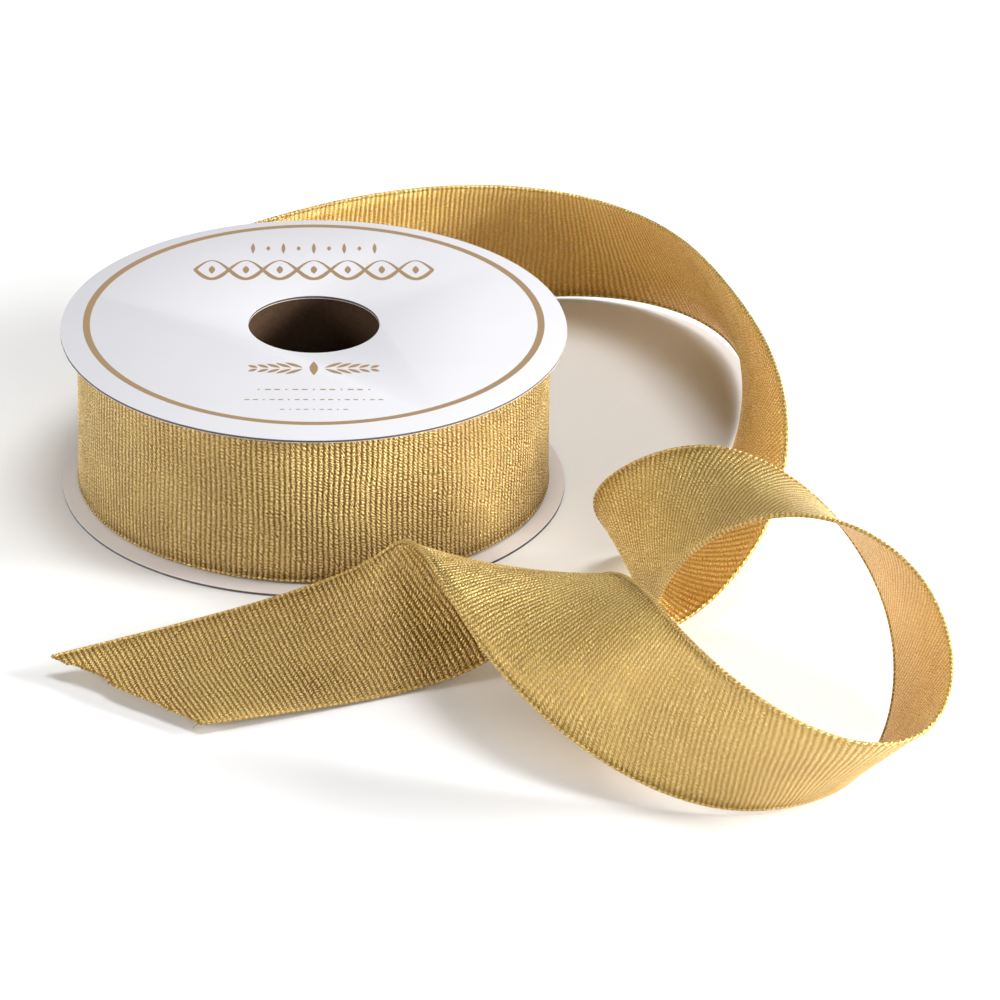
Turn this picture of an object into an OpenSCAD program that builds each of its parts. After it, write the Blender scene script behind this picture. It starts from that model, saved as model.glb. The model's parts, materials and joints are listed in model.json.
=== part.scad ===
// Spool of wire-edged ribbon, lying on its lower flange, with the free end unwound beside it.
// Millimetres. The origin is the centre of the bore on the resting face, +Z runs up the bore.

/* [Flanges] */
// Diameter of both flanges
flange_d = 117.5; // [112:0.5:124]
// How far the die-cut rims sit towards the front from the bore's centre
rim_shift = 1.6; // [0:0.1:3.2]
// Thickness of the grey board in a flange
board_t = 0.5; // [0.4:0.1:1.0]
// Thickness of the paper glued to each side of the board
paper_t = 0.1; // [0.1:0.05:0.2]

/* [Core tube] */
// Diameter of the hole through the whole spool
bore_d = 30.5; // [25:0.5:32]
// Thickness of one wound ply of the core tube
ply_t = 0.6; // [0.4:0.1:0.9]
// Thickness of the glue between the tube's ends and the flanges
glue_t = 0.1; // [0.05:0.05:0.2]

/* [Ribbon] */
// Width of the ribbon over its two wired edges
ribbon_w = 38; // [36:0.5:40]
// Thickness of the woven band
band_t = 0.4; // [0.3:0.1:0.6]
// Diameter of the rolled hem along each edge
hem_d = 1.0; // [0.8:0.1:1.2]
// Diameter of the wire in each hem
wire_d = 0.3; // [0.2:0.05:0.4]
// Radius of the outermost lap, to the middle of the band
lap_r = 54.8; // [53:0.1:56]
// Free space between an edge of the ribbon and a flange
side_gap = 0.35; // [0.2:0.05:0.5]
// Direction in which the free end leaves the roll, seen from above
leave_angle = 129; // [120:1:138]

/* [Hidden] */
$fn = 180;

bore_r = bore_d / 2;
flange_t = board_t + 2 * paper_t;
gap_h = ribbon_w + 2 * side_gap;
upper_z = flange_t + gap_h;
core_r = bore_r + 3 * ply_t;
core_z = flange_t + glue_t;
core_h = gap_h - 2 * glue_t;

// The tape that holds the ribbon's inner end on the core
tape_t = 0.1;
tape_h = 24;
tape_angle = 70;

hem_r = hem_d / 2;
edge_z = flange_t + side_gap;
roll_r = lap_r - hem_r - 0.35;
// The outermost lap stops this far short of a full turn, where the free end passes over it
lap_open = 15;

// Stations of the free end, as the frame of a smooth curve along each edge. Each is the edge
// that is uppermost on the roll, then the one that is lowermost there.
STATIONS = [
    [[8, 76, 39], [12, 81, 1]],
    [[47, 87, 37], [54, 101, 1]],
    [[74, 78, 35], [86, 94, 2]],
    [[89, 56, 36], [105, 69, 2]],
    [[98, 25, 38], [105, 35, 1]],
    [[107, -7, 37], [97, 3, 1]],
    [[110, -37, 30], [88, -20, 1]],
    [[104, -60, 17], [80, -33, 1]],
    [[91, -73, 6], [73, -38, 1]],
    [[80, -78, 1], [66, -42, 9]],
    [[76, -81, 3], [62, -49, 21]],
    [[77, -90, 17], [71, -56, 33]],
    [[83, -102, 34], [87, -63, 42]],
    [[98, -111, 48], [103, -72, 41]],
    [[116, -119, 51], [119, -85, 32]],
    [[132, -133, 46], [129, -106, 19]],
    [[139, -151, 35], [128, -126, 6]],
    [[135, -170, 27], [120, -145, 1]],
    [[122, -180, 26], [108, -157, 1]],
    [[104, -181, 32], [92, -162, 1]],
    [[88, -170, 39], [74, -159, 4]],
    [[77, -151, 42], [53, -148, 12]],
    [[72, -128, 39], [36, -130, 23]],
    [[66, -107, 32], [27, -106, 30]],
    [[60, -92, 20], [22, -85, 28]],
    [[51, -90, 9], [18, -74, 22]],
    [[35, -100, 1], [12, -73, 15]],
    [[8, -112, 1], [-12, -80, 9]],
    [[-25, -125, 3], [-59, -97, 5]]
];
// Rings between two stations
steps = 4;

// The free end starts where the outermost lap stops
leave_xy = lap_r * [cos(leave_angle), sin(leave_angle)];
ROUTE = concat(
    [[[leave_xy.x, leave_xy.y, edge_z + ribbon_w], [leave_xy.x, leave_xy.y, edge_z]]],
    STATIONS
);
last = len(ROUTE) - 1;

// Point i of one edge of the route, carried straight on past either end
function control(i, edge) =
    i < 0 ? 2 * ROUTE[0][edge] - ROUTE[1][edge] :
    i > last ? 2 * ROUTE[last][edge] - ROUTE[last - 1][edge] :
    ROUTE[i][edge];

// Uniform cubic B-spline through the span that starts at control point i
function spline(i, t, edge) =
    (pow(1 - t, 3) * control(i - 1, edge)
    + (3 * pow(t, 3) - 6 * pow(t, 2) + 4) * control(i, edge)
    + (-3 * pow(t, 3) + 3 * pow(t, 2) + 3 * t + 1) * control(i + 1, edge)
    + pow(t, 3) * control(i + 2, edge)) / 6;

function unit(v) = v / norm(v);

UPPER = [for (i = [0 : last - 1], k = [0 : steps - 1]) spline(i, k / steps, 0), ROUTE[last][0]];
LOWER = [for (i = [0 : last - 1], k = [0 : steps - 1]) spline(i, k / steps, 1), ROUTE[last][1]];
rings = len(UPPER);

// Direction across the ribbon at ring i, from the upper edge to the lower edge
function across(i) = unit(LOWER[i] - UPPER[i]);

// Direction square to the ribbon's face at ring i
function facing(i) =
    let (a = max(i - 1, 0), b = min(i + 1, rings - 1))
    unit(cross(UPPER[b] + LOWER[b] - UPPER[a] - LOWER[a], across(i)));

// Middle of each hem, half a hem in from the edge
function upper_hem_mid(i) = UPPER[i] + hem_r * across(i);
function lower_hem_mid(i) = LOWER[i] - hem_r * across(i);

// Corners of the band at ring i, between the two hems
function band_ring(i) =
    let (n = facing(i) * band_t / 2, s = (hem_d + 0.02) * across(i))
    [UPPER[i] + s + n, LOWER[i] - s + n, LOWER[i] - s - n, UPPER[i] + s - n];

// Circle of sides points round a hem's middle at ring i
function round_ring(i, mid, r, sides) =
    [for (k = [0 : sides - 1]) mid + r * (cos(360 * k / sides) * across(i) + sin(360 * k / sides) * facing(i))];

// Faces of a tube of rings, each of sides points, that starts at point base. The two halves of
// a ring are cut along diagonals that lie over each other, so a twisted wall keeps its thickness.
function wall(count, sides, base, inward) =
    [for (i = [0 : count - 2], k = [0 : sides - 1])
        let (
            a = base + i * sides + k,
            b = base + i * sides + (k + 1) % sides,
            c = b + sides,
            d = a + sides,
            pair = 2 * k < sides ? [[a, c, b], [a, d, c]] : [[a, d, b], [b, d, c]]
        )
        each (inward ? [for (f = pair) [f[2], f[1], f[0]]] : pair)];

// Solid swept along the free end from a list of rings
module swept(ring_list) {
    sides = len(ring_list[0]);
    count = len(ring_list);
    polyhedron(
        points = [for (ring = ring_list) each ring],
        faces = concat(
            [[for (k = [0 : sides - 1]) k]],
            wall(count, sides, 0, false),
            [[for (k = [sides - 1 : -1 : 0]) (count - 1) * sides + k]]
        )
    );
}

// Flat disc with the bore through it, from z up by t, its rim a little off the bore's centre
module disc(z, t) {
    translate([0, 0, z]) difference() {
        translate([0, -rim_shift, 0]) cylinder(h = t, d = flange_d);
        translate([0, 0, -1]) cylinder(h = t + 2, r = bore_r);
    }
}

// Tube round the bore's axis
module tube(r_in, r_out, z, h) {
    translate([0, 0, z]) difference() {
        cylinder(h = h, r = r_out);
        translate([0, 0, -1]) cylinder(h = h + 2, r = r_in);
    }
}

// Turns a profile, drawn at its place in radius and height, round the roll as the outermost lap
module lap() {
    rotate([0, 0, leave_angle]) rotate_extrude(angle = 360 - lap_open) children();
}

module hem_profile(z) {
    translate([lap_r, z]) difference() {
        circle(r = hem_r, $fn = 32);
        circle(r = wire_d / 2 + 0.05, $fn = 32);
    }
}

module hem_sweep(upper) {
    mids = [for (i = [0 : rings - 1]) upper ? upper_hem_mid(i) : lower_hem_mid(i)];
    outer = [for (i = [0 : rings - 1]) each round_ring(i, mids[i], hem_r, 8)];
    inner = [for (i = [0 : rings - 1]) each round_ring(i, mids[i], wire_d / 2 + 0.08, 8)];
    start = len(outer);
    end = start - 8;
    polyhedron(
        points = concat(outer, inner),
        faces = concat(
            wall(rings, 8, 0, false),
            wall(rings, 8, start, true),
            [for (k = [0 : 7]) each [
                [k, (k + 1) % 8, start + (k + 1) % 8],
                [k, start + (k + 1) % 8, start + k],
                [end + k, start + end + (k + 1) % 8, end + (k + 1) % 8],
                [end + k, start + end + k, start + end + (k + 1) % 8]
            ]]
        )
    );
}

module wire_sweep(upper) {
    swept([for (i = [0 : rings - 1])
        round_ring(i, upper ? upper_hem_mid(i) : lower_hem_mid(i), wire_d / 2, 6)]);
}

module lower_label_paper() {
    color("white") disc(0, paper_t);
}

module lower_flange_board() {
    color("dimgray") disc(paper_t, board_t);
}

module lower_liner_paper() {
    color("lightgray") disc(paper_t + board_t, paper_t);
}

module upper_liner_paper() {
    color("lightgray") disc(upper_z, paper_t);
}

module upper_flange_board() {
    color("dimgray") disc(upper_z + paper_t, board_t);
}

module upper_label_paper() {
    color("white") disc(upper_z + paper_t + board_t, paper_t);
}

module core_inner_ply() {
    color("saddlebrown") tube(bore_r, bore_r + ply_t, core_z, core_h);
}

module core_middle_ply() {
    color("peru") tube(bore_r + ply_t, bore_r + 2 * ply_t, core_z, core_h);
}

module core_outer_ply() {
    color("sienna") tube(bore_r + 2 * ply_t, core_r, core_z, core_h);
}

module lower_glue_ring() {
    color("ivory") tube(bore_r, core_r, flange_t, glue_t);
}

module upper_glue_ring() {
    color("ivory") tube(bore_r, core_r, upper_z - glue_t, glue_t);
}

module start_tape() {
    color("lightblue") translate([0, 0, flange_t + gap_h / 2 - tape_h / 2])
        rotate_extrude(angle = tape_angle) translate([core_r, 0]) square([tape_t, tape_h]);
}

module wound_ribbon() {
    color("goldenrod") tube(core_r + tape_t, roll_r, edge_z, ribbon_w);
}

module lap_band() {
    color("gold") lap()
        translate([lap_r - band_t / 2, edge_z + hem_d]) square([band_t, ribbon_w - 2 * hem_d]);
}

module lap_upper_hem() {
    color("darkgoldenrod") lap() hem_profile(edge_z + ribbon_w - hem_r);
}

module lap_lower_hem() {
    color("darkgoldenrod") lap() hem_profile(edge_z + hem_r);
}

module lap_upper_wire() {
    color("silver") lap() translate([lap_r, edge_z + ribbon_w - hem_r]) circle(d = wire_d, $fn = 24);
}

module lap_lower_wire() {
    color("silver") lap() translate([lap_r, edge_z + hem_r]) circle(d = wire_d, $fn = 24);
}

module tail_band() {
    color("gold") swept([for (i = [0 : rings - 1]) band_ring(i)]);
}

module tail_upper_hem() {
    color("darkgoldenrod") hem_sweep(true);
}

module tail_lower_hem() {
    color("darkgoldenrod") hem_sweep(false);
}

module tail_upper_wire() {
    color("silver") wire_sweep(true);
}

module tail_lower_wire() {
    color("silver") wire_sweep(false);
}

lower_label_paper();
lower_flange_board();
lower_liner_paper();
upper_label_paper();
upper_flange_board();
upper_liner_paper();
core_inner_ply();
core_middle_ply();
core_outer_ply();
lower_glue_ring();
upper_glue_ring();
start_tape();
wound_ribbon();
lap_band();
lap_upper_hem();
lap_lower_hem();
lap_upper_wire();
lap_lower_wire();
tail_band();
tail_upper_hem();
tail_lower_hem();
tail_upper_wire();
tail_lower_wire();
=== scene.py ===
"""Looks of a card spool of wire-edged gold ribbon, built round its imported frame. Metres."""

import json
import math
import random

import bpy
import numpy as np
from bpy.props import FloatProperty, FloatVectorProperty, IntProperty, PointerProperty
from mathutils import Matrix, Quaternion, Vector, noise


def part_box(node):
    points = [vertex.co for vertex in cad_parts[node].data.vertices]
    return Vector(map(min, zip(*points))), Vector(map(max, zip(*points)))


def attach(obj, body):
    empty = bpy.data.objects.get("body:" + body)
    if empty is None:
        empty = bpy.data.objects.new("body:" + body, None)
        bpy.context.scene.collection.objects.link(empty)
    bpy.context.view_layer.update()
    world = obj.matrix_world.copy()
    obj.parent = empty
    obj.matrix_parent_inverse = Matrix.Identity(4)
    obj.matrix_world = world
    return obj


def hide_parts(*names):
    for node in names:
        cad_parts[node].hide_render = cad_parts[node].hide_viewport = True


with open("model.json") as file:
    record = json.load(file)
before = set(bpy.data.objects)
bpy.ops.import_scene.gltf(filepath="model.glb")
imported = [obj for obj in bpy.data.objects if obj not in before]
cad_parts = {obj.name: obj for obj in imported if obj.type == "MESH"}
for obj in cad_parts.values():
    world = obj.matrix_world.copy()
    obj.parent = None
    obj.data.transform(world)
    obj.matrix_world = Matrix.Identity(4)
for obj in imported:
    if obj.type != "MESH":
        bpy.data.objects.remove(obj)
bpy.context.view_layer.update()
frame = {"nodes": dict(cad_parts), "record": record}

bl_info = {
    "name": "Ribbon spool",
    "version": (1, 0, 0),
    "blender": (4, 5, 0),
    "location": "View3D > Sidebar > Spool",
    "description": "Builds a spool of wire-edged ribbon with its free end unwound",
    "category": "Object",
}

MM = 0.001
SPOOL = "spool"
FREE = "free_ribbon"

LABEL_LOW, LABEL_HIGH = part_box("upper_label_paper")
RIM_R = (LABEL_HIGH.x - LABEL_LOW.x) / 2
RIM_Y = (LABEL_HIGH.y + LABEL_LOW.y) / 2
BORE_R = next(m["dims"]["r_mm"] for m in frame["record"]["mounts"] if m["name"] == "core_bore") * MM
CORE_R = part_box("core_outer_ply")[1].x

# The outermost lap overlaps its own start by so many degrees
LAP_OVERLAP = 12
# Rings that model each lap below it, and the room these laps leave to that lap and to the core
LAP_RINGS = 72
LAP_ROOM = 0.1 * MM
CORE_ROOM = 0.15 * MM

# The free end sinks onto the table over these distances from the roll, where it is this low
SETTLE_FROM = 30 * MM
SETTLE_TO = 70 * MM
SETTLE_HEIGHT = 12 * MM

# Sockets of a Mix node for its share and its two colours
SHARE, FIRST, SECOND = 0, 6, 7

# Edges of the free end in millimetres, as the frame of a smooth curve along each: the edge that is
# uppermost on the roll, then the one that is lowermost there
STATIONS = (
    ((8, 76, 39), (12, 81, 1)),
    ((47, 87, 37), (54, 101, 1)),
    ((74, 78, 35), (86, 94, 2)),
    ((89, 56, 36), (105, 69, 2)),
    ((98, 25, 38), (105, 35, 1)),
    ((107, -7, 37), (97, 3, 1)),
    ((110, -37, 30), (88, -20, 1)),
    ((104, -60, 17), (80, -33, 1)),
    ((91, -73, 6), (73, -38, 1)),
    ((80, -78, 1), (66, -42, 9)),
    ((76, -81, 3), (62, -49, 21)),
    ((77, -90, 17), (71, -56, 33)),
    ((83, -102, 34), (87, -63, 42)),
    ((98, -111, 48), (103, -72, 41)),
    ((116, -119, 51), (119, -85, 32)),
    ((132, -133, 46), (129, -106, 19)),
    ((139, -151, 35), (128, -126, 6)),
    ((135, -170, 27), (120, -145, 1)),
    ((122, -180, 26), (108, -157, 1)),
    ((104, -181, 32), (92, -162, 1)),
    ((88, -170, 39), (74, -159, 4)),
    ((77, -151, 42), (53, -148, 12)),
    ((72, -128, 39), (36, -130, 23)),
    ((66, -107, 32), (27, -106, 30)),
    ((60, -92, 20), (22, -85, 28)),
    ((51, -90, 9), (18, -74, 22)),
    ((35, -100, 1), (12, -73, 15)),
    ((8, -112, 1), (-12, -80, 9)),
    ((-25, -125, 3), (-59, -97, 5)),
)


def linear(code):
    """Linear colour of an sRGB hex code."""
    values = [int(code[i : i + 2], 16) / 255 for i in (1, 3, 5)]
    return [v / 12.92 if v <= 0.04045 else ((v + 0.055) / 1.055) ** 2.4 for v in values]


def colour(name, description, code):
    return FloatVectorProperty(
        name=name, description=description, subtype="COLOR", size=3, min=0, max=1,
        default=linear(code),
    )


def length(name, description, millimetres):
    return FloatProperty(
        name=name, description=description, unit="LENGTH", precision=5,
        default=millimetres * MM,
    )


class SPOOL_PG_ribbon(bpy.types.PropertyGroup):
    width: length("Width", "Width over both wired edges", 38)
    lap_radius: length("Outer lap", "Radius of the outermost lap, to the middle of the band", 54.8)
    edge_height: length("Edge height", "Height of the lower edge on the roll", 1.05)
    leave_angle: FloatProperty(
        name="Leaving angle", description="Direction in which the free end leaves the roll",
        subtype="ANGLE", default=math.radians(129),
    )
    rib_pitch: length("Rib pitch", "Distance between two weft ribs", 1.25)
    web: length("Web", "Thickness of the band between two ribs", 0.2)
    rib: length("Rib", "How far a rib stands up on each side", 0.14)
    stitch: length("Stitch", "Spacing of the slanted stitches along a rib", 0.8)
    twist: FloatProperty(
        name="Twist", description="Stitches that a slanted stitch climbs across a rib", default=1.5,
    )
    hem: length("Hem", "Diameter of the rolled hem", 1.0)
    wire: length("Wire", "Diameter of the wire in a hem", 0.3)
    lap_pitch: length("Lap pitch", "How much each lap adds to the roll's radius", 1.1)
    tuck: length("Tuck", "How far the outermost lap's end sinks under its start", 1.2)
    ripple: length("Ripple", "Height of the soft ripples in the free end", 0.35)
    stray: length("Stray", "How far a rib strays from straight across", 1.6)
    settle: length("Settle", "How far the free end sinks onto the table", 0.5)


class SPOOL_PG_card(bpy.types.PropertyGroup):
    edge_round: length("Edge rounding", "Radius of the crushed, die-cut edges", 0.05)
    ring_radius: length("Ring radius", "Radius of the printed ring's middle line", 52.8)
    ring_width: length("Ring width", "Width of the printed ring", 1.6)
    ring_shift: length("Ring shift", "How far the print sits behind the bore's centre", 1.0)
    ink: length("Ink", "Thickness of the printed ink", 0.02)
    rim_steps: IntProperty(name="Rim steps", description="Corners round a flange", default=240)


class SPOOL_PG_colours(bpy.types.PropertyGroup):
    label: colour("Label paper", "Coated white paper", "#CECED2")
    liner: colour("Liner paper", "Uncoated paper on the inner faces", "#EEE7E5")
    board: colour("Board", "Grey board at the cut edges", "#6A615C")
    core: colour("Core", "Brown core board", "#4A3422")
    ink: colour("Ink", "Tan printing ink", "#B29571")
    # The top and root colours split the foil's gold into a paler top, painted highlight, and a
    # darker root, painted shade
    rib_top: colour("Rib top", "Top of a rib on the outer side", "#FEE088")
    rib_root: colour("Rib root", "Root of a rib on the outer side", "#A47C2E")
    # The groove colour is painted shade in the gaps where ribs part
    groove: colour("Groove", "Dark groove between ribs that bend apart", "#764A06")
    # The inner side's top and root are painted highlight and shade in the same way, and are paler
    # than the outer's as painted light for the light that comes through the ribbon
    inner_top: colour("Inner rib top", "Top of a rib on the inner side", "#FCDC7C")
    inner_root: colour("Inner rib root", "Root of a rib on the inner side", "#BC8A38")
    # Painted glint: a pale colour mixed into single stitches as a painted highlight
    painted_glint: colour("Glint", "Metal-wrapped threads that catch the light", "#FFF0C4")
    wire: colour("Wire", "Brass-coloured steel wire", "#A08B62")
    glue: colour("Glue", "Dried glue, soaked into grey board", "#6B604F")
    tape: colour("Tape", "Clear tape", "#D8DBD0")
    floor: colour("Floor", "White floor", "#F7F7F7")


# --- shared making functions -----------------------------------------------------------------


def sizes(context):
    """The three groups of sizes and colours."""
    scene = context.scene
    return scene.spool_ribbon, scene.spool_card, scene.spool_colours


def deselect():
    bpy.ops.object.select_all(action="DESELECT")


def select_only(piece):
    deselect()
    bpy.context.view_layer.objects.active = piece
    piece.select_set(True)


def smoothstep(low, high, x):
    """0 up to low, 1 from high on, and a smooth rise between."""
    t = np.clip((np.asarray(x, float) - low) / (high - low), 0, 1)
    return t * t * (3 - 2 * t)


def unit(rows):
    """The same directions, each of length 1."""
    return rows / np.linalg.norm(rows, axis=-1, keepdims=True)


def mesh_piece(name, points, faces, uvs=None, materials=(), material_ids=None):
    """A smooth-shaded piece from plain lists, with its weave laid out in metres."""
    mesh = bpy.data.meshes.new(name)
    mesh.from_pydata([tuple(p) for p in points], [], faces)
    piece = bpy.data.objects.new(name, mesh)
    bpy.context.scene.collection.objects.link(piece)
    if uvs is not None:
        layer = mesh.uv_layers.new(name="weave")
        corners = np.empty(len(mesh.loops), int)
        mesh.loops.foreach_get("vertex_index", corners)
        layer.data.foreach_set("uv", np.asarray(uvs, np.float32)[corners].ravel())
    for material in materials:
        mesh.materials.append(material)
    if material_ids is not None:
        mesh.polygons.foreach_set("material_index", material_ids)
    mesh.polygons.foreach_set("use_smooth", [True] * len(mesh.polygons))
    mesh.update()
    return piece


def tube_faces(count, sides, base=0):
    """Outward faces of a closed tube of rings, each numbered as a right-hand screw turns."""
    faces = []
    for i in range(count - 1):
        for k in range(sides):
            a = base + i * sides + k
            b = base + i * sides + (k + 1) % sides
            faces.append((b, b + sides, a + sides, a))
    faces.append([base + k for k in reversed(range(sides))])
    faces.append([base + (count - 1) * sides + k for k in range(sides)])
    return faces


def ring_points(here, across, up, radius, sides):
    """Points of the rings round a line, ring by ring."""
    rings = []
    for k in range(sides):
        turn = k * math.tau / sides
        rings.append(here + (across * math.cos(turn) + up * math.sin(turn)) * radius)
    return np.stack(rings, 1).reshape(-1, 3)


def apply_modifiers(piece):
    select_only(piece)
    for modifier in list(piece.modifiers):
        bpy.ops.object.modifier_apply(modifier=modifier.name)


def place_in_mesh(piece):
    """Moves a piece's place into its mesh, so that its object sits at the origin."""
    select_only(piece)
    bpy.ops.object.transform_apply(location=True, rotation=True, scale=True)


# --- finishes --------------------------------------------------------------------------------


def new_material(name):
    material = bpy.data.materials.new(name)
    material.use_nodes = True
    tree = material.node_tree
    return material, tree, tree.nodes["Principled BSDF"]


def connect(tree, node, inputs):
    """Gives a node's inputs their values, or links them from other nodes' sockets."""
    for key, value in inputs.items():
        if isinstance(value, bpy.types.NodeSocket):
            tree.links.new(value, node.inputs[key])
        else:
            node.inputs[key].default_value = value


def add(tree, kind, inputs, **settings):
    """Adds a node with its settings and links, and returns its first output in use."""
    made = tree.nodes.new("ShaderNode" + kind)
    for key, value in settings.items():
        setattr(made, key, value)
    connect(tree, made, inputs)
    return next(socket for socket in made.outputs if socket.enabled)


def shade(tint, share=1.0):
    """A tint made darker or paler, as a node takes it."""
    return (*(min(1.0, c * share) for c in tint), 1.0)


def clouds(tree, cells, detail, stretch=(1, 1, 1)):
    """Soft random pattern in the piece's own space, with so many cells to the millimetre."""
    where = add(tree, "TexCoord", {}).node.outputs["Object"]
    where = add(tree, "Mapping", {"Vector": where, "Scale": stretch})
    return add(tree, "TexNoise", {"Vector": where, "Scale": cells / MM, "Detail": detail})


def paper(name, tint, roughness, tooth):
    """Label or facing paper: near white and dull, with clouds of 17 mm and a tooth of 0.4 mm."""
    material, tree, shader = new_material(name)
    body = {SHARE: clouds(tree, 0.06, 4), FIRST: shade(tint, 0.95), SECOND: shade(tint)}
    grain = {"Height": clouds(tree, 2.6, 2), "Distance": tooth, "Strength": 0.6}
    connect(tree, shader, {
        "Base Color": add(tree, "Mix", body, data_type="RGBA"),
        "Normal": add(tree, "Bump", grain),
        "Roughness": roughness,
        "Specular IOR Level": 0.4,
    })
    return material


def fibre_board(name, tint, cells, depth):
    """Grey or brown board of pulped fibre: matt, flecked, with a rough cut edge.

    Its lumps are 1 / cells millimetres across, and its fibres are four times as fine."""
    material, tree, shader = new_material(name)
    coarse = {SHARE: clouds(tree, cells, 4), FIRST: shade(tint, 0.45), SECOND: shade(tint)}
    lumps = add(tree, "Mix", coarse, data_type="RGBA")
    fine = clouds(tree, cells * 4, 3, stretch=(1, 1, 3))
    fleck = add(tree, "MapRange", {0: fine, 1: 0.58, 2: 0.72})
    flecked = {SHARE: fleck, FIRST: lumps, SECOND: shade(tint, 1.5)}
    connect(tree, shader, {
        "Base Color": add(tree, "Mix", flecked, data_type="RGBA"),
        "Normal": add(tree, "Bump", {"Height": fine, "Distance": depth, "Strength": 0.8}),
        "Roughness": 0.9,
        "Specular IOR Level": 0.2,
    })
    return material


def core_board(tint):
    """Spiral-wound kraft tube: dark brown fibre with the seam of the wound ply running round it."""
    material = fibre_board("core_kraft_board", tint, cells=0.9, depth=0.12 * MM)
    tree = material.node_tree
    shader = tree.nodes["Principled BSDF"]
    where = add(tree, "TexCoord", {}).node.outputs["Object"]
    x = add(tree, "SeparateXYZ", {0: where})
    y, z = x.node.outputs[1], x.node.outputs[2]
    turn = add(tree, "Math", {0: y, 1: x}, operation="ARCTAN2")
    turn = add(tree, "Math", {0: turn, 1: 1 / math.tau, 2: 1.4}, operation="MULTIPLY_ADD")
    # The ply is a strip of paper that climbs its own width of 60 mm a turn
    climb = add(tree, "Math", {0: z, 1: 1 / (60 * MM), 2: turn}, operation="MULTIPLY_ADD")
    place = add(tree, "Math", {0: climb}, operation="FRACT")
    seam = add(tree, "Math", {0: place, 1: 0.02}, operation="LESS_THAN")
    plain = shader.inputs["Base Color"].links[0].from_socket
    body = {SHARE: seam, FIRST: plain, SECOND: shade(tint, 0.3)}
    connect(tree, shader, {"Base Color": add(tree, "Mix", body, data_type="RGBA")})
    return material


def plain_finish(name, tint, roughness, cells, depth, metallic=0.0, alpha=1.0, coat=0.0):
    """Ink, wire, glue, tape or thread: one tint, with its own fine unevenness and gloss."""
    material, tree, shader = new_material(name)
    rough = clouds(tree, cells, 3)
    body = {SHARE: rough, FIRST: shade(tint, 0.82), SECOND: shade(tint)}
    connect(tree, shader, {
        "Base Color": add(tree, "Mix", body, data_type="RGBA"),
        "Normal": add(tree, "Bump", {"Height": rough, "Distance": depth, "Strength": 0.5}),
        "Roughness": roughness,
        "Metallic": metallic,
        "Alpha": alpha,
        "Coat Weight": coat,
    })
    return material


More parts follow.
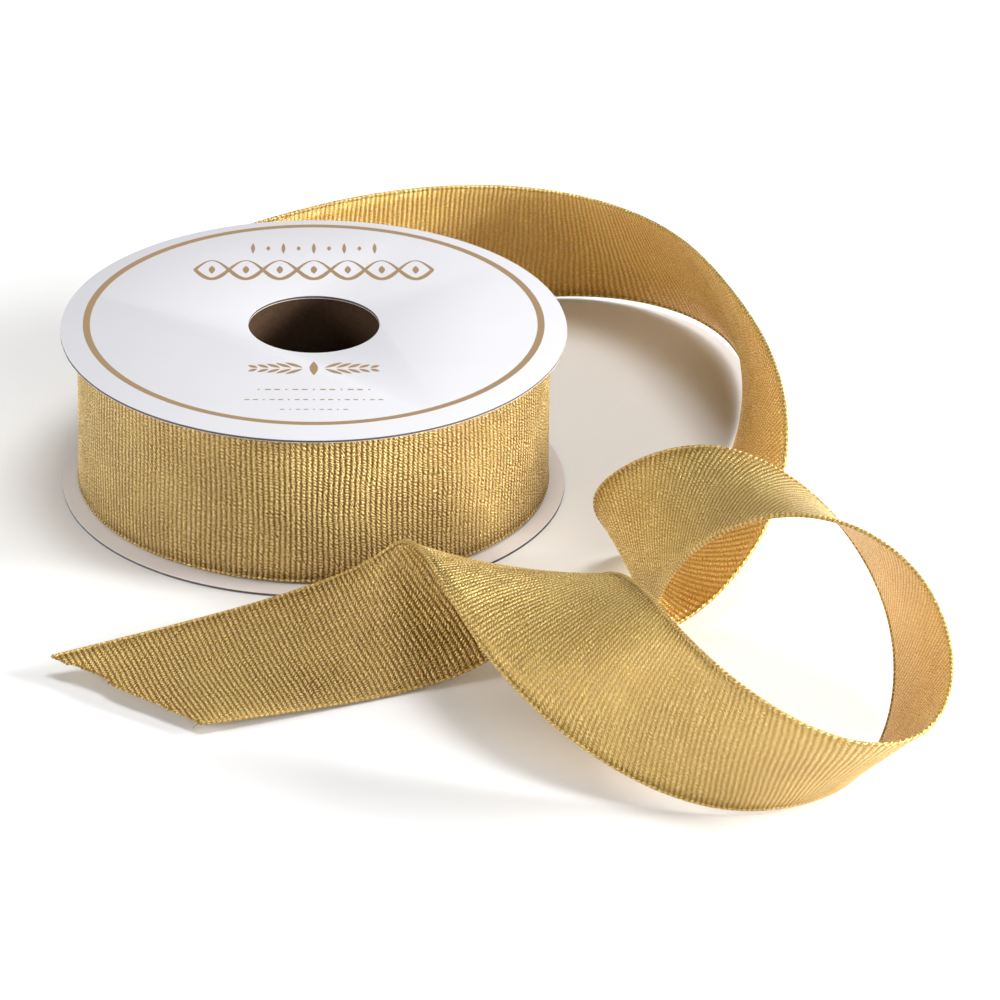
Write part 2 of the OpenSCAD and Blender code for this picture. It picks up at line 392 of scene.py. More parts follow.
def corded_weave(name, ribbon, colours, top, root, opening, metallic, glow):
    """Metallic grosgrain: thick weft ribs bound by slanted, metal-wrapped warp stitches.

    Each rib reads as a twisted cord. The foil's gold is split into a paler top and raised stitches,
    a painted highlight, and a darker root, painted shade, besides the real relief. Single stitches
    at random spots are painted as pale glints, whatever the light, and are glossier and raised.
    Ribs that bend apart get painted shade in the groove: opening gives the distances along the
    ribbon at which that starts and is complete."""
    material, tree, shader = new_material(name)
    where = add(tree, "UVMap", {}, uv_map="weave")
    along = add(tree, "SeparateXYZ", {0: where})
    across = along.node.outputs[1]

    # Ribs wander by up to a fifth of their pitch, over stretches of 4 mm
    wander = add(tree, "TexNoise", {"Vector": where, "Scale": 0.26 / MM, "Detail": 1.0})
    ribs = {0: along, 1: 1 / ribbon.rib_pitch, 2: -0.2}
    ribs = add(tree, "Math", ribs, operation="MULTIPLY_ADD")
    ribs = add(tree, "Math", {0: wander, 1: 0.4, 2: ribs}, operation="MULTIPLY_ADD")
    number = add(tree, "Math", {0: ribs, 1: 1.0}, operation="SNAP")
    within = add(tree, "Math", {0: ribs}, operation="FRACT")
    crest = add(tree, "Math", {0: ribs, 1: math.tau}, operation="MULTIPLY")
    crest = add(tree, "Math", {0: crest}, operation="COSINE")
    crest = add(tree, "Math", {0: crest, 1: 0.5, 2: 0.5}, operation="MULTIPLY_ADD")

    # Stitches slope across their rib, and every rib starts them at its own place. The real ones
    # are about 0.6 mm apart, and are drawn a little coarser so that they show
    start = add(tree, "TexWhiteNoise", {"W": number}, noise_dimensions="1D")
    rows = {0: across, 1: 1 / ribbon.stitch, 2: start}
    rows = add(tree, "Math", rows, operation="MULTIPLY_ADD")
    rows = add(tree, "Math", {0: within, 1: ribbon.twist, 2: rows}, operation="MULTIPLY_ADD")
    rows = add(tree, "Math", {0: wander, 1: 3.0, 2: rows}, operation="MULTIPLY_ADD")
    stitch = add(tree, "Math", {0: rows, 1: math.tau}, operation="MULTIPLY")
    stitch = add(tree, "Math", {0: stitch}, operation="SINE")
    stitch = add(tree, "MapRange", {0: stitch, 1: -0.7, 2: 0.7})

    # Painted glints: single stitches at random spots, made paler in colour, glossier and raised, in
    # a pattern with cells of 0.5 mm
    glint_spots = add(tree, "TexNoise", {"Vector": where, "Scale": 2.0 / MM, "Detail": 2.0})
    glint_spots = add(tree, "MapRange", {0: glint_spots, 1: 0.48, 2: 0.66})
    # The whole weave drifts between darker and paler over stretches of 14 mm
    drift = add(tree, "TexNoise", {"Vector": where, "Scale": 0.07 / MM, "Detail": 3.0})
    drift = add(tree, "Math", {0: drift, 1: 0.35, 2: -0.17}, operation="MULTIPLY_ADD")
    # Share of the pale top colour: raised stitches on the rib crests are painted paler, a painted
    # highlight, and the roots darker, painted shade; the drift and the painted glints add to it
    lift = add(tree, "Math", {0: stitch, 1: 1.0, 2: 0.1}, operation="MULTIPLY_ADD")
    lift = add(tree, "Math", {0: lift, 1: crest, 2: drift}, operation="MULTIPLY_ADD")
    lift = add(tree, "Math", {0: glint_spots, 1: 0.25, 2: lift}, operation="MULTIPLY_ADD")
    # Painted highlight: glint spots on the rib crests are mixed towards the pale glint colour, and
    # the same share makes them glossier
    shine = add(tree, "Math", {0: crest, 1: 0.7, 2: 0.1}, operation="MULTIPLY_ADD")
    shine = add(tree, "Math", {0: shine, 1: glint_spots}, operation="MULTIPLY")
    # Painted shade: where ribs part, their roots take the dark groove colour
    parted = add(tree, "MapRange", {0: along, 1: opening[0], 2: opening[1]})
    depth = {SHARE: parted, FIRST: shade(root), SECOND: shade(colours.groove)}
    depth = add(tree, "Mix", depth, data_type="RGBA")
    body = {SHARE: lift, FIRST: depth, SECOND: shade(top)}
    body = add(tree, "Mix", body, data_type="RGBA")
    body = {SHARE: shine, FIRST: body, SECOND: shade(colours.painted_glint)}

    height = add(tree, "Math", {0: glint_spots, 1: 0.5}, operation="MULTIPLY")
    height = add(tree, "Math", {0: stitch, 1: 0.6, 2: height}, operation="MULTIPLY_ADD")
    swell = add(tree, "Math", {0: crest, 1: 0.8, 2: 0.2}, operation="MULTIPLY_ADD")
    height = add(tree, "Math", {0: height, 1: swell}, operation="MULTIPLY")
    connect(tree, shader, {
        "Base Color": add(tree, "Mix", body, data_type="RGBA"),
        "Roughness": add(tree, "Math", {0: shine, 1: -0.2, 2: 0.44}, operation="MULTIPLY_ADD"),
        "Normal": add(tree, "Bump", {"Height": height, "Distance": 0.35 * MM, "Strength": 1.0}),
        "Metallic": metallic,
        "Coat Weight": 0.12,
        "Coat Roughness": 0.45,
        "Subsurface Weight": glow,
        "Subsurface Radius": (1.0, 0.8, 0.4),
        "Subsurface Scale": 1.0 * MM,
    })
    return material


# --- the ribbon's path -----------------------------------------------------------------------


def tail_edges(ribbon, steps=60):
    """Fine points along both edges of the free end, in metres."""
    angle, radius = ribbon.leave_angle, ribbon.lap_radius
    x, y = radius * math.cos(angle), radius * math.sin(angle)
    low = ribbon.edge_height
    first = np.array([[x, y, low + ribbon.width], [x, y, low]])
    posts = np.concatenate([[first], np.array(STATIONS, float) * MM])
    before = 2 * posts[:1] - posts[1:2]
    after = 2 * posts[-1:] - posts[-2:-1]
    posts = np.concatenate([before, posts, after])
    t = (np.arange(steps) / steps)[:, None, None]
    weights = (
        (1 - t) ** 3,
        3 * t ** 3 - 6 * t ** 2 + 4,
        -3 * t ** 3 + 3 * t ** 2 + 3 * t + 1,
        t ** 3,
    )
    spans = [
        sum(w * posts[i + j] for j, w in enumerate(weights)) / 6
        for i in range(len(posts) - 3)
    ]
    return np.concatenate([*spans, [posts[-2]]])


def lap_edges(ribbon):
    """Points along both edges of the outermost lap, which tucks under the start of the free end."""
    turn = np.radians(np.arange(360 + LAP_OVERLAP, 0, -0.5))
    radius = ribbon.lap_radius - ribbon.tuck * smoothstep(np.radians(200), turn[0], turn)
    angle = ribbon.leave_angle + turn
    low = np.full_like(turn, ribbon.edge_height)
    flat = [radius * np.cos(angle), radius * np.sin(angle)]
    upper = np.stack([*flat, low + ribbon.width], 1)
    lower = np.stack([*flat, low], 1)
    return np.stack([upper, lower], 1)


class Path:
    """The free ribbon as a strip between two edges, measured along its middle line.

    Distance is 0 where the ribbon leaves the roll, and below 0 on the lap. A weft rib runs square
    to the middle line, so it crosses the strip's own rulings where the ribbon twists."""

    def __init__(self, ribbon):
        tail = tail_edges(ribbon)
        lap = lap_edges(ribbon)
        edges = np.concatenate([lap, tail])
        self.upper, self.lower = edges[:, 0], edges[:, 1]
        middle = edges.mean(1)
        gaps = np.linalg.norm(np.diff(middle, axis=0), axis=1)
        self.at = np.concatenate([[0], gaps.cumsum()])
        self.at -= self.at[len(lap)]
        heading = unit(np.gradient(middle, axis=0))
        self.cross = self.lower - self.upper
        self.slant = (self.cross * heading).sum(1)
        self.facing = unit(np.cross(heading, unit(self.cross)))
        self.sink = ribbon.settle * smoothstep(SETTLE_FROM, SETTLE_TO, self.at)
        self.start, self.end = self.at[0], self.at[-1]

    def column(self, share):
        """Distances and points along the line a share of the way from upper to lower edge."""
        at = self.at + (share - 0.5) * self.slant
        point = self.upper + self.cross * share
        point[:, 2] -= self.sink * np.clip(1 - point[:, 2] / SETTLE_HEIGHT, 0, 1)
        return at, point

    def end_at(self, share):
        """Distance at which the line a share of the way across ends."""
        return self.column(share)[0][-1]

    def sample(self, share, distances):
        """Points and facings at these distances on one column."""
        at, point = self.column(share)
        points = np.stack([np.interp(distances, at, point[:, i]) for i in range(3)], 1)
        facing = np.stack([np.interp(distances, at, self.facing[:, i]) for i in range(3)], 1)
        return points, unit(facing)


def rib_crest(distances, pitch):
    """1 on a rib's top and 0 in the groove."""
    return np.cos(np.pi * np.asarray(distances) / pitch) ** 2


# --- operators -------------------------------------------------------------------------------


class SPOOL_OT_stage(bpy.types.Operator):
    """Lay the floor, hang the lights and set up the camera"""

    bl_idname = "spool.stage"
    bl_label = "Stage"

    def execute(self, context):
        colours = sizes(context)[2]
        deselect()
        bpy.ops.mesh.primitive_plane_add(size=12, location=(0, 0, 0))
        floor = context.object
        floor.name = "floor"
        # A seamless white sweep: matt, and the same everywhere
        material, tree, shader = new_material("floor_white")
        connect(tree, shader, {
            "Base Color": shade(colours.floor), "Roughness": 0.95, "Specular IOR Level": 0.1,
        })
        floor.data.materials.append(material)
        place_in_mesh(floor)

        world = bpy.data.worlds.new("studio")
        world.use_nodes = True
        sky = world.node_tree.nodes["Background"]
        connect(world.node_tree, sky, {"Color": (1, 1, 1, 1), "Strength": 0.15})
        context.scene.world = world
        context.scene.view_settings.view_transform = "Standard"

        for name, place, aim, across, watts in (
            ("key_softbox", (1.25, -0.12, 0.45), (0.05, -0.03, 0.02), 0.45, 19.0),
            ("low_softbox", (1.25, -0.36, 0.32), (0.05, -0.03, 0.02), 0.3, 18.0),
            ("left_softbox", (-1.2, -0.25, 0.42), (0.0, -0.03, 0.02), 0.45, 11.0),
            ("top_softbox", (0.3, 0.0, 1.5), (0.05, 0.0, 0.02), 0.6, 11.5),
            ("front_softbox", (0.3, -1.5, 0.6), (0.05, -0.03, 0.02), 0.45, 4.5),
        ):
            lamp = bpy.data.lights.new(name, "AREA")
            lamp.size = across
            lamp.energy = watts
            holder = bpy.data.objects.new(name, lamp)
            context.scene.collection.objects.link(holder)
            holder.location = place
            gaze = (Vector(aim) - Vector(place)).to_track_quat("-Z", "Y")
            holder.rotation_euler = gaze.to_euler()

        camera = bpy.data.cameras.new("camera")
        camera.lens = 275.5
        camera.sensor_width = 36
        camera.clip_end = 50
        holder = bpy.data.objects.new("camera", camera)
        context.scene.collection.objects.link(holder)
        place, aim = Vector((0, -1.6013, 0.8118)), Vector((0.0434, -0.0117, 0.0002))
        holder.location = place
        gaze = (aim - place).to_track_quat("-Z", "Y")
        roll = Quaternion((0, 0, 1), math.radians(0.71))
        holder.rotation_euler = (gaze @ roll).to_euler()
        context.scene.camera = holder
        return {"FINISHED"}


class SPOOL_OT_flanges(bpy.types.Operator):
    """Cut the papers and boards of both flanges, with the crushed edges that a die leaves"""

    bl_idname = "spool.flanges"
    bl_label = "Flanges"

    def disc(self, name, card):
        """One die-cut layer at its CAD node's place, bored through and rounded at its edges."""
        low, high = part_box(name)
        thick = high.z - low.z
        deselect()
        bpy.ops.mesh.primitive_cylinder_add(
            vertices=card.rim_steps, radius=RIM_R, depth=thick,
            location=(0, RIM_Y, (low.z + high.z) / 2),
        )
        piece = bpy.context.object
        bpy.ops.mesh.primitive_cylinder_add(
            vertices=card.rim_steps // 2, radius=BORE_R, depth=10 * MM,
            location=(0, 0, (low.z + high.z) / 2),
        )
        cutter = bpy.context.object
        bore = piece.modifiers.new("bore", "BOOLEAN")
        bore.operation = "DIFFERENCE"
        bore.solver = "EXACT"
        bore.object = cutter
        apply_modifiers(piece)
        bpy.data.objects.remove(cutter)
        edge = piece.modifiers.new("edge", "BEVEL")
        edge.width = min(card.edge_round, thick * 0.45)
        edge.segments = 3
        edge.angle_limit = math.radians(50)
        apply_modifiers(piece)
        place_in_mesh(piece)
        bpy.ops.object.shade_smooth_by_angle(angle=math.radians(40))
        return piece

    def execute(self, context):
        card, colours = sizes(context)[1:]
        label = paper("label_coated_paper", colours.label, roughness=0.6, tooth=0.01 * MM)
        liner = paper("liner_uncoated_paper", colours.liner, roughness=0.75, tooth=0.03 * MM)
        board = fibre_board("flange_grey_board", colours.board, cells=1.5, depth=0.06 * MM)
        for node, piece_name, finish, slot in (
            ("lower_label_paper", "lower_label", label, "label_paper"),
            ("lower_flange_board", "lower_board", board, "grey_board"),
            ("lower_liner_paper", "lower_liner", liner, "liner_paper"),
            ("upper_liner_paper", "upper_liner", liner, "liner_paper"),
            ("upper_flange_board", "upper_board", board, "grey_board"),
            ("upper_label_paper", "upper_label", label, "label_paper"),
        ):
            piece = self.disc(node, card)
            piece.name = piece_name
            piece.data.name = piece_name
            piece.data.materials.clear()
            piece.data.materials.append(finish)
            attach(piece, SPOOL)
            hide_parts(node)
        return {"FINISHED"}


class SPOOL_OT_label_print(bpy.types.Operator):
    """Print the ring and the plain ornaments on the upper label"""

    bl_idname = "spool.label_print"
    bl_label = "Label print"

    def stroke(self, points, faces, line, widths, low, high, closed=False):
        """Adds a flat line of ink, of varying width, to points and faces."""
        line = np.asarray(line, float)
        widths = np.broadcast_to(np.asarray(widths, float), len(line))[:, None]
        if closed:
            heading = np.roll(line, -1, 0) - np.roll(line, 1, 0)
        else:
            heading = np.gradient(line, axis=0)
        side = unit(np.stack([-heading[:, 1], heading[:, 0]], 1)) * widths / 2
        base = len(points)
        for here, aside in zip(line, side):
            left, right = here + aside, here - aside
            for spot, z in ((right, low), (left, low), (left, high), (right, high)):
                points.append((spot[0], spot[1], z))
        count = len(line)
        for i in range(count if closed else count - 1):
            j = (i + 1) % count
            for k in range(4):
                n = (k + 1) % 4
                here, there = base + 4 * i, base + 4 * j
                faces.append((here + k, here + n, there + n, there + k))
        if not closed:
            faces.append([base + k for k in (3, 2, 1, 0)])
            faces.append([base + 4 * (count - 1) + k for k in range(4)])

    def leaf(self, root, tip, wide, steps=9):
        """Centre line and widths of a pointed oval of ink, given in millimetres."""
        t = np.linspace(-1, 1, steps)
        line = np.linspace(root, tip, steps)
        return line * MM, np.maximum(wide * (1 - t ** 2), 0.08) * MM

    def upright_leaf(self, x, y, wide, tall):
        return self.leaf((x, y - tall / 2), (x, y + tall / 2), wide)

    def execute(self, context):
        card, colours = sizes(context)[1:]
        low = LABEL_HIGH.z - 0.01 * MM
        high = LABEL_HIGH.z + card.ink
        finish = plain_finish(
            "tan_printing_ink", colours.ink, roughness=0.4, cells=3, depth=0.004 * MM,
            metallic=0.25,
        )
        made = {}

        def start(name):
            made[name] = ([], [])
            return made[name]

        ring = start("printed_ring")
        angle = np.arange(240) * math.tau / 240
        circle = np.stack([np.cos(angle), np.sin(angle)], 1) * card.ring_radius
        circle[:, 1] += card.ring_shift
        self.stroke(*ring, circle, card.ring_width, low, high, closed=True)

        # A braid of two waves with a lozenge in each eye, under a row of small lozenges
        braid = start("printed_braid")
        span, eyes, swing, height = 56, 7, 5.0, 29.4
        x = np.linspace(-span / 2, span / 2, 280)
        phase = x / span * math.pi * eyes
        for hand in (1, -1):
            wave = hand * swing * np.sin(phase + math.pi / 2 * eyes)
            line = np.stack([x, height + wave], 1) * MM
            weight = 0.95 + 0.5 * hand * np.cos(phase)
            # One wave's ink is a little thicker, so that the two don't share a surface
            lift = 0.004 * MM * (1 + hand)
            self.stroke(*braid, line, weight * MM, low - lift, high + lift)
        for i in range(eyes):
            across = (i - eyes // 2) * span / eyes
            self.stroke(*braid, *self.upright_leaf(across, height, 1.5, 4.2), low, high)
        lozenges, pitch, height = 9, 3.6, 41.2
        for i in range(lozenges):
            across = (i - lozenges // 2) * pitch
            tall = 5.6 if i % 2 == 0 else 2.4
            self.stroke(*braid, *self.upright_leaf(across, height, 0.9, tall), low, high)

        # A sprig below the bore: pairs of leaves that point outwards from a lozenge
        sprig = start("printed_sprig")
        middle, lean = -23.4, math.radians(38)
        self.stroke(*sprig, *self.upright_leaf(0, middle, 1.9, 7.0), low, high)
        for hand in (1, -1):
            for i in range(5):
                root = 2.6 + 2.6 * i
                reach = 5.0 - 0.6 * i
                for up in (1, -1):
                    out = hand * (root + reach * math.cos(lean))
                    tip = (out, middle + up * reach * math.sin(lean))
                    leaf = self.leaf((hand * root, middle + up * 0.3), tip, 1.2)
                    self.stroke(*sprig, *leaf, low, high)

        # Three fine rules of dashes and dots
        rules = start("printed_rules")
        for y, half, pitch, dash, weight in (
            (-34.4, 12.6, 2.1, 1.3, 0.495),
            (-39.6, 16.0, 1.9, 1.1, 0.44),
            (-44.6, 8.0, 1.8, 1.0, 0.385),
        ):
            count = int(half / pitch)
            for i in range(-count, count + 1):
                wide = dash if i % 3 else 0.4
                x = np.linspace(-wide / 2, wide / 2, 4) + i * pitch
                line = np.stack([x, np.full(4, y)], 1) * MM
                self.stroke(*rules, line, weight * MM, low, high)

        for name, (points, faces) in made.items():
            piece = mesh_piece(name, points, faces, materials=[finish])
            piece.data.polygons.foreach_set("use_smooth", [False] * len(piece.data.polygons))
            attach(piece, SPOOL)
        return {"FINISHED"}


class SPOOL_OT_core(bpy.types.Operator):
    """Finish the core tube, its glue and the tape on it"""

    bl_idname = "spool.core"
    bl_label = "Core"

    def execute(self, context):
        colours = sizes(context)[2]
        kraft = core_board(colours.core)
        glue = plain_finish(
            "dried_glue", colours.glue, roughness=0.35, cells=0.9, depth=0.05 * MM, coat=0.3,
        )
        tape = plain_finish(
            "clear_tape", colours.tape, roughness=0.15, cells=0.5, depth=0.02 * MM, alpha=0.7,
        )
        for node, finish in (
            ("core_inner_ply", kraft),
            ("core_middle_ply", kraft),
            ("core_outer_ply", kraft),
            ("lower_glue_ring", glue),
            ("upper_glue_ring", glue),
            ("start_tape", tape),
        ):
            mesh = frame["nodes"][node].data
            mesh.materials.clear()
            mesh.materials.append(finish)
        return {"FINISHED"}


class SPOOL_OT_wound_roll(bpy.types.Operator):
    """Wind the ribbon on the core, lap on lap"""

    bl_idname = "spool.wound_roll"
    bl_label = "Wound roll"

    def execute(self, context):
        ribbon, _, colours = sizes(context)
        hem, thin = ribbon.hem / 2, ribbon.web / 2 + ribbon.rib
        top, low = ribbon.edge_height + ribbon.width, ribbon.edge_height
        # The ribbon's cross-section, as distances from its middle and heights: first its outer half
        outer = [
            (0, top), (0.8 * hem, top - 0.4 * hem), (hem, top - hem), (thin, top - 2.2 * hem),
            (thin, low + 2.2 * hem), (hem, low + hem), (0.8 * hem, low + 0.4 * hem), (0, low),
        ]
        profile = outer + [(-r, z) for r, z in outer[-2:0:-1]]
        # The outermost lap tucks in by tuck, and these laps turn freely inside it
        widest = ribbon.lap_radius - ribbon.tuck - ribbon.hem - LAP_ROOM
        tightest = CORE_R + hem + CORE_ROOM
        rings = int((widest - tightest) / ribbon.lap_pitch * LAP_RINGS)
        first = ribbon.leave_angle + math.radians(360 + LAP_OVERLAP)
        points, uvs, travelled = [], [], 0.0
        for i in range(rings + 1):
            turn = i * math.tau / LAP_RINGS
            radius = widest - ribbon.lap_pitch * turn / math.tau
            angle = first + turn
            travelled += radius * math.tau / LAP_RINGS if i else 0.0
            for out, z in profile:
                reach = radius + out
                points.append((reach * math.cos(angle), reach * math.sin(angle), z))
                uvs.append((travelled, z))
        faces = tube_faces(rings + 1, len(profile))
        # Its ribs stand apart from end to end, so all its rib roots get the groove colour as
        # painted shade
        weave = corded_weave(
            "wound_corded_weave", ribbon, colours, colours.rib_top, colours.rib_root,
            opening=(-1.0, 0.0), metallic=0.7, glow=0.0,
        )
        roll = mesh_piece("wound_laps", points, faces, uvs, [weave])
        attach(roll, SPOOL)
        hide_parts("wound_ribbon")
        return {"FINISHED"}


class SPOOL_OT_free_ribbon(bpy.types.Operator):
    """Lay the outermost lap and the free end, with its hems, wires and frayed cut"""

    bl_idname = "spool.free_ribbon"
    bl_label = "Free ribbon"

    columns = 12
    # Waves to the metre, along the ribbon, of its straying ribs and of its soft ripples
    stray_waves = 28
    ripple_waves = 42
    # Threads that fray at the cut, and steps of its ragged line
    threads = 70
    ragged_steps = 9

    def wander(self, ribbon, rings, share):
        """How far each weft rib strays along the ribbon from a straight line across it."""
        stray = [noise.noise(Vector((x * self.stray_waves, share * 1.3, 9.7))) for x in rings]
        return np.array(stray) * ribbon.stray * math.sin(math.pi * share)

    def band(self, ribbon, path, cut, finishes):
        """The woven band as one closed sheet, ribbed on both sides and cut on a slant."""
        columns = self.columns
        inset = 0.75 * ribbon.hem / ribbon.width
        shares = np.linspace(inset, 1 - inset, columns + 1)
        step = ribbon.rib_pitch / 4
        ends = [cut(share) for share in shares]
        first = math.ceil(path.start / step)
        last = [math.ceil(end / step) for end in ends]
        points, uvs, index = [[], []], [], []
        for j, share in enumerate(shares):
            rings = np.arange(first, last[j] + 1) * step
            rings[-1] = ends[j]
            place, facing = path.sample(share, rings + self.wander(ribbon, rings, share))
            half = ribbon.web / 2 + ribbon.rib * rib_crest(rings, ribbon.rib_pitch)
            # The ripples die out at the wired edges, and are slight on the roll
            belly = math.sin(math.pi * share)
            freedom = smoothstep(0.0, 60 * MM, rings) * belly ** 0.7
            wave = [noise.noise(Vector((x * self.ripple_waves, share * 1.7, 3.1))) for x in rings]
            rise = np.array(wave) * ribbon.ripple * (0.25 + freedom) * belly
            index.append(len(points[0]))
            points[0].extend(place + facing * (rise + half)[:, None])
            points[1].extend(place + facing * (rise - half)[:, None])
            uvs.extend(np.stack([rings, np.full(len(rings), share * ribbon.width)], 1))
        other = len(points[0])
        counts = [n - first + 1 for n in last]
        outer_faces = []
        for j in range(columns):
            a, b = index[j], index[j + 1]
            shared = min(counts[j], counts[j + 1])
            for k in range(shared - 1):
                outer_faces.append((a + k, a + k + 1, b + k + 1, b + k))
            for k in range(shared - 1, counts[j] - 1):
                outer_faces.append((a + k, a + k + 1, b + shared - 1))
            for k in range(shared - 1, counts[j + 1] - 1):
                outer_faces.append((a + shared - 1, b + k + 1, b + k))
        inner_faces = [tuple(v + other for v in reversed(face)) for face in outer_faces]
        rim = [index[0] + k for k in range(counts[0])]
        rim += [index[j] + counts[j] - 1 for j in range(1, columns + 1)]
        rim += [index[columns] + k for k in reversed(range(counts[columns] - 1))]
        rim += [index[j] for j in reversed(range(1, columns))]
        rim_faces = [
            (here, here + other, there + other, there)
            for here, there in zip(rim, rim[1:] + rim[:1])
        ]
        ids = [0] * len(outer_faces) + [1] * len(inner_faces) + [0] * len(rim_faces)
        return mesh_piece(
            "free_ribbon_sheet", points[0] + points[1], outer_faces + inner_faces + rim_faces,
            uvs + uvs, finishes, ids,
        )

    def edge_share(self, ribbon, side):
        """Where the middle of the hem at the upper edge, side 0, or the lower edge, 1, runs."""
        inset = ribbon.hem / 2 / ribbon.width
        return 1 - inset if side else inset

    def edge_end(self, ribbon, path, side):
        """Distance at which the hem at one edge ends: the cut, or the end of its own line."""
        return min(path.end_at(side), path.end_at(self.edge_share(ribbon, side)))

    def edge_line(self, ribbon, path, side, distances):
        """Middle line of a hem, with its heading and two directions square to it."""
        here, facing = path.sample(self.edge_share(ribbon, side), distances)
        heading = unit(np.gradient(here, axis=0))
        across = unit(np.cross(facing, heading))
        return here, heading, across, unit(np.cross(heading, across))

    def hem(self, name, ribbon, path, side, finish):
        """One rolled hem: a tube that swells at each rib, where the weft turns round the wire."""
        sides = 8
        end = self.edge_end(ribbon, path, side)
        distances = np.arange(path.start, end, ribbon.rib_pitch / 4)
        here, _, across, up = self.edge_line(ribbon, path, side, distances)
        radius = ribbon.hem / 2 * (0.9 + 0.1 * rib_crest(distances, ribbon.rib_pitch))
        points = ring_points(here, across, up, radius[:, None], sides)
        girth = np.arange(sides) * math.tau / sides * ribbon.hem / 2
        uvs = np.stack([np.repeat(distances, sides), np.tile(girth, len(distances))], 1)
        return mesh_piece(name, points, tube_faces(len(distances), sides), uvs, [finish])

    def wire(self, name, ribbon, path, side, finish):
        """One edge wire. The upper one shows as a short bent stub past the cut."""
        sides, bends = 6, 4
        end = self.edge_end(ribbon, path, side)
        distances = np.append(np.arange(path.start, end, 1.5 * MM), end)
        here, heading, across, up = self.edge_line(ribbon, path, side, distances)
        if not side:
            stub = np.linspace(0.4, 1.8, bends)[:, None] * MM
            bend = up[-1] * 0.25 - across[-1] * 0.5
            tip = here[-1] + heading[-1] * stub + bend * stub ** 2 / stub[-1]
            here = np.concatenate([here, tip])
            across = np.concatenate([across, np.repeat(across[-1:], bends, 0)])
            up = np.concatenate([up, np.repeat(up[-1:], bends, 0)])
        points = ring_points(here, across, up, ribbon.wire / 2, sides)
        return mesh_piece(name, points, tube_faces(len(here), sides), materials=[finish])

    def fray(self, ribbon, path, cut, finish):
        """Short ends of warp thread that stand out of the slanted cut."""
        draw = random.Random(7)
        sides, rings = 5, 5
        t = np.linspace(0, 1, rings)[:, None]
        points, faces = [], []
        for i in range(self.threads):
            share = 0.03 + 0.94 * (i + draw.uniform(-0.4, 0.4)) / (self.threads - 1)
            share = min(max(share, 0.03), 0.97)
            end = cut(share) - 0.3 * MM
            here, facing = path.sample(share, [end - 1 * MM, end])
            heading = unit(here[1] - here[0])
            across = unit(np.cross(facing[1], heading))
            reach = draw.uniform(0.4, 0.8) * MM
            lean = draw.uniform(-0.5, 0.5)
            lift = draw.uniform(-0.35, 0.35)
            thick = draw.uniform(0.2, 0.34) * MM
            spots = here[1] + reach * (heading * t + (across * lean + facing[1] * lift) * t * t)
            faces.extend(tube_faces(rings, sides, len(points)))
            points.extend(
                ring_points(spots, across, facing[1], thick * np.sqrt(1 - 0.9 * t * t), sides)
            )
        return mesh_piece("cut_end_fray", points, faces, materials=[finish])

    def execute(self, context):
        ribbon, _, colours = sizes(context)
        path = Path(ribbon)
        draw = random.Random(3)
        ragged = [draw.uniform(-1.5, 1.3) * MM for _ in range(self.ragged_steps)]
        upper_end, lower_end = path.end_at(0), path.end_at(1)

        def cut(share):
            """Distance at which the slanted, slightly ragged cut crosses this column."""
            straight = upper_end + (lower_end - upper_end) * share
            step = ragged[int(share * (self.ragged_steps - 1))]
            return straight - 0.4 * MM + step * math.sin(math.pi * share)

        # Ribs stand apart on the roll, and on the inner side of the end, past the fold, where their
        # roots get the groove colour as painted shade
        on_roll = (70 * MM, -10 * MM)
        past_fold = (path.end - 190 * MM, path.end - 130 * MM)
        outer = corded_weave(
            "outer_corded_weave", ribbon, colours, colours.rib_top, colours.rib_root,
            opening=on_roll, metallic=0.65, glow=0.2,
        )
        # The inner side's paler colours are painted light for the light that comes through the
        # ribbon
        inner = corded_weave(
            "inner_corded_weave", ribbon, colours, colours.inner_top, colours.inner_root,
            opening=past_fold, metallic=0.45, glow=0.5,
        )
        hemmed = corded_weave(
            "hem_wrapped_thread", ribbon, colours, colours.rib_top, colours.rib_root,
            opening=on_roll, metallic=0.6, glow=0.2,
        )
        steel = plain_finish(
            "drawn_steel_wire", colours.wire, roughness=0.3, cells=4, depth=0.01 * MM, metallic=1.0,
        )
        thread = plain_finish(
            "loose_gold_thread", colours.rib_root, roughness=0.4, cells=5, depth=0.02 * MM,
            metallic=0.5,
        )
        sheet = self.band(ribbon, path, cut, [outer, inner])
        upper_hem = self.hem("upper_hem", ribbon, path, 0, hemmed)
        lower_hem = self.hem("lower_hem", ribbon, path, 1, hemmed)
        upper_wire = self.wire("upper_edge_wire", ribbon, path, 0, steel)
        lower_wire = self.wire("lower_edge_wire", ribbon, path, 1, steel)
        fray = self.fray(ribbon, path, cut, thread)
        for piece, slot, nodes in (
            (sheet, "ribbon_weave", ("lap_band", "tail_band")),
            (upper_hem, "hem_thread", ("lap_upper_hem", "tail_upper_hem")),
            (lower_hem, "hem_thread", ("lap_lower_hem", "tail_lower_hem")),
            (upper_wire, "edge_wire", ("lap_upper_wire", "tail_upper_wire")),
            (lower_wire, "edge_wire", ("lap_lower_wire", "tail_lower_wire")),
            (fray, "ribbon_weave", ()),
        ):
            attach(piece, FREE)
            if nodes:
                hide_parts(*nodes)
        return {"FINISHED"}


STEPS = (
    SPOOL_OT_stage,
    SPOOL_OT_free_ribbon,
    SPOOL_OT_wound_roll,
    SPOOL_OT_flanges,
    SPOOL_OT_label_print,
    SPOOL_OT_core,
)


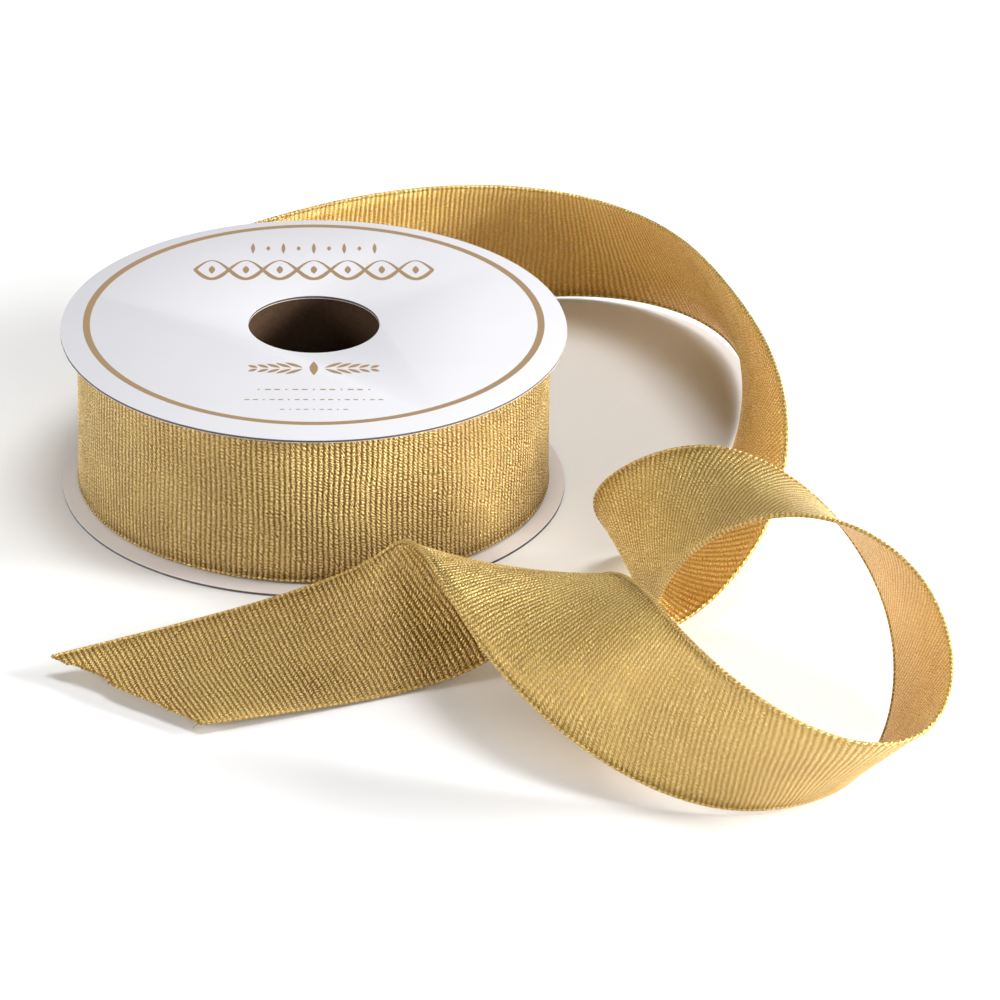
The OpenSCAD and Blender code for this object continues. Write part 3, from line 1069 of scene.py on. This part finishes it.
class SPOOL_PT_panel(bpy.types.Panel):
    """Lists the steps, then the sizes and colours they use"""

    bl_idname = "SPOOL_PT_panel"
    bl_label = "Ribbon spool"
    bl_space_type = "VIEW_3D"
    bl_region_type = "UI"
    bl_category = "Spool"

    def draw(self, context):
        for step in STEPS:
            self.layout.operator(step.bl_idname)
        for group in sizes(context):
            box = self.layout.box()
            for name in group.bl_rna.properties.keys():
                if name not in ("rna_type", "name"):
                    box.prop(group, name)


CLASSES = (SPOOL_PG_ribbon, SPOOL_PG_card, SPOOL_PG_colours, *STEPS, SPOOL_PT_panel)


def register():
    for each in CLASSES:
        bpy.utils.register_class(each)
    bpy.types.Scene.spool_ribbon = PointerProperty(type=SPOOL_PG_ribbon)
    bpy.types.Scene.spool_card = PointerProperty(type=SPOOL_PG_card)
    bpy.types.Scene.spool_colours = PointerProperty(type=SPOOL_PG_colours)


def unregister():
    del bpy.types.Scene.spool_colours
    del bpy.types.Scene.spool_card
    del bpy.types.Scene.spool_ribbon
    for each in reversed(CLASSES):
        bpy.utils.unregister_class(each)


def main():
    register()
    bpy.ops.spool.stage()
    bpy.ops.spool.free_ribbon()
    bpy.ops.spool.wound_roll()
    bpy.ops.spool.flanges()
    bpy.ops.spool.label_print()
    bpy.ops.spool.core()


if __name__ == "__main__":
    main()
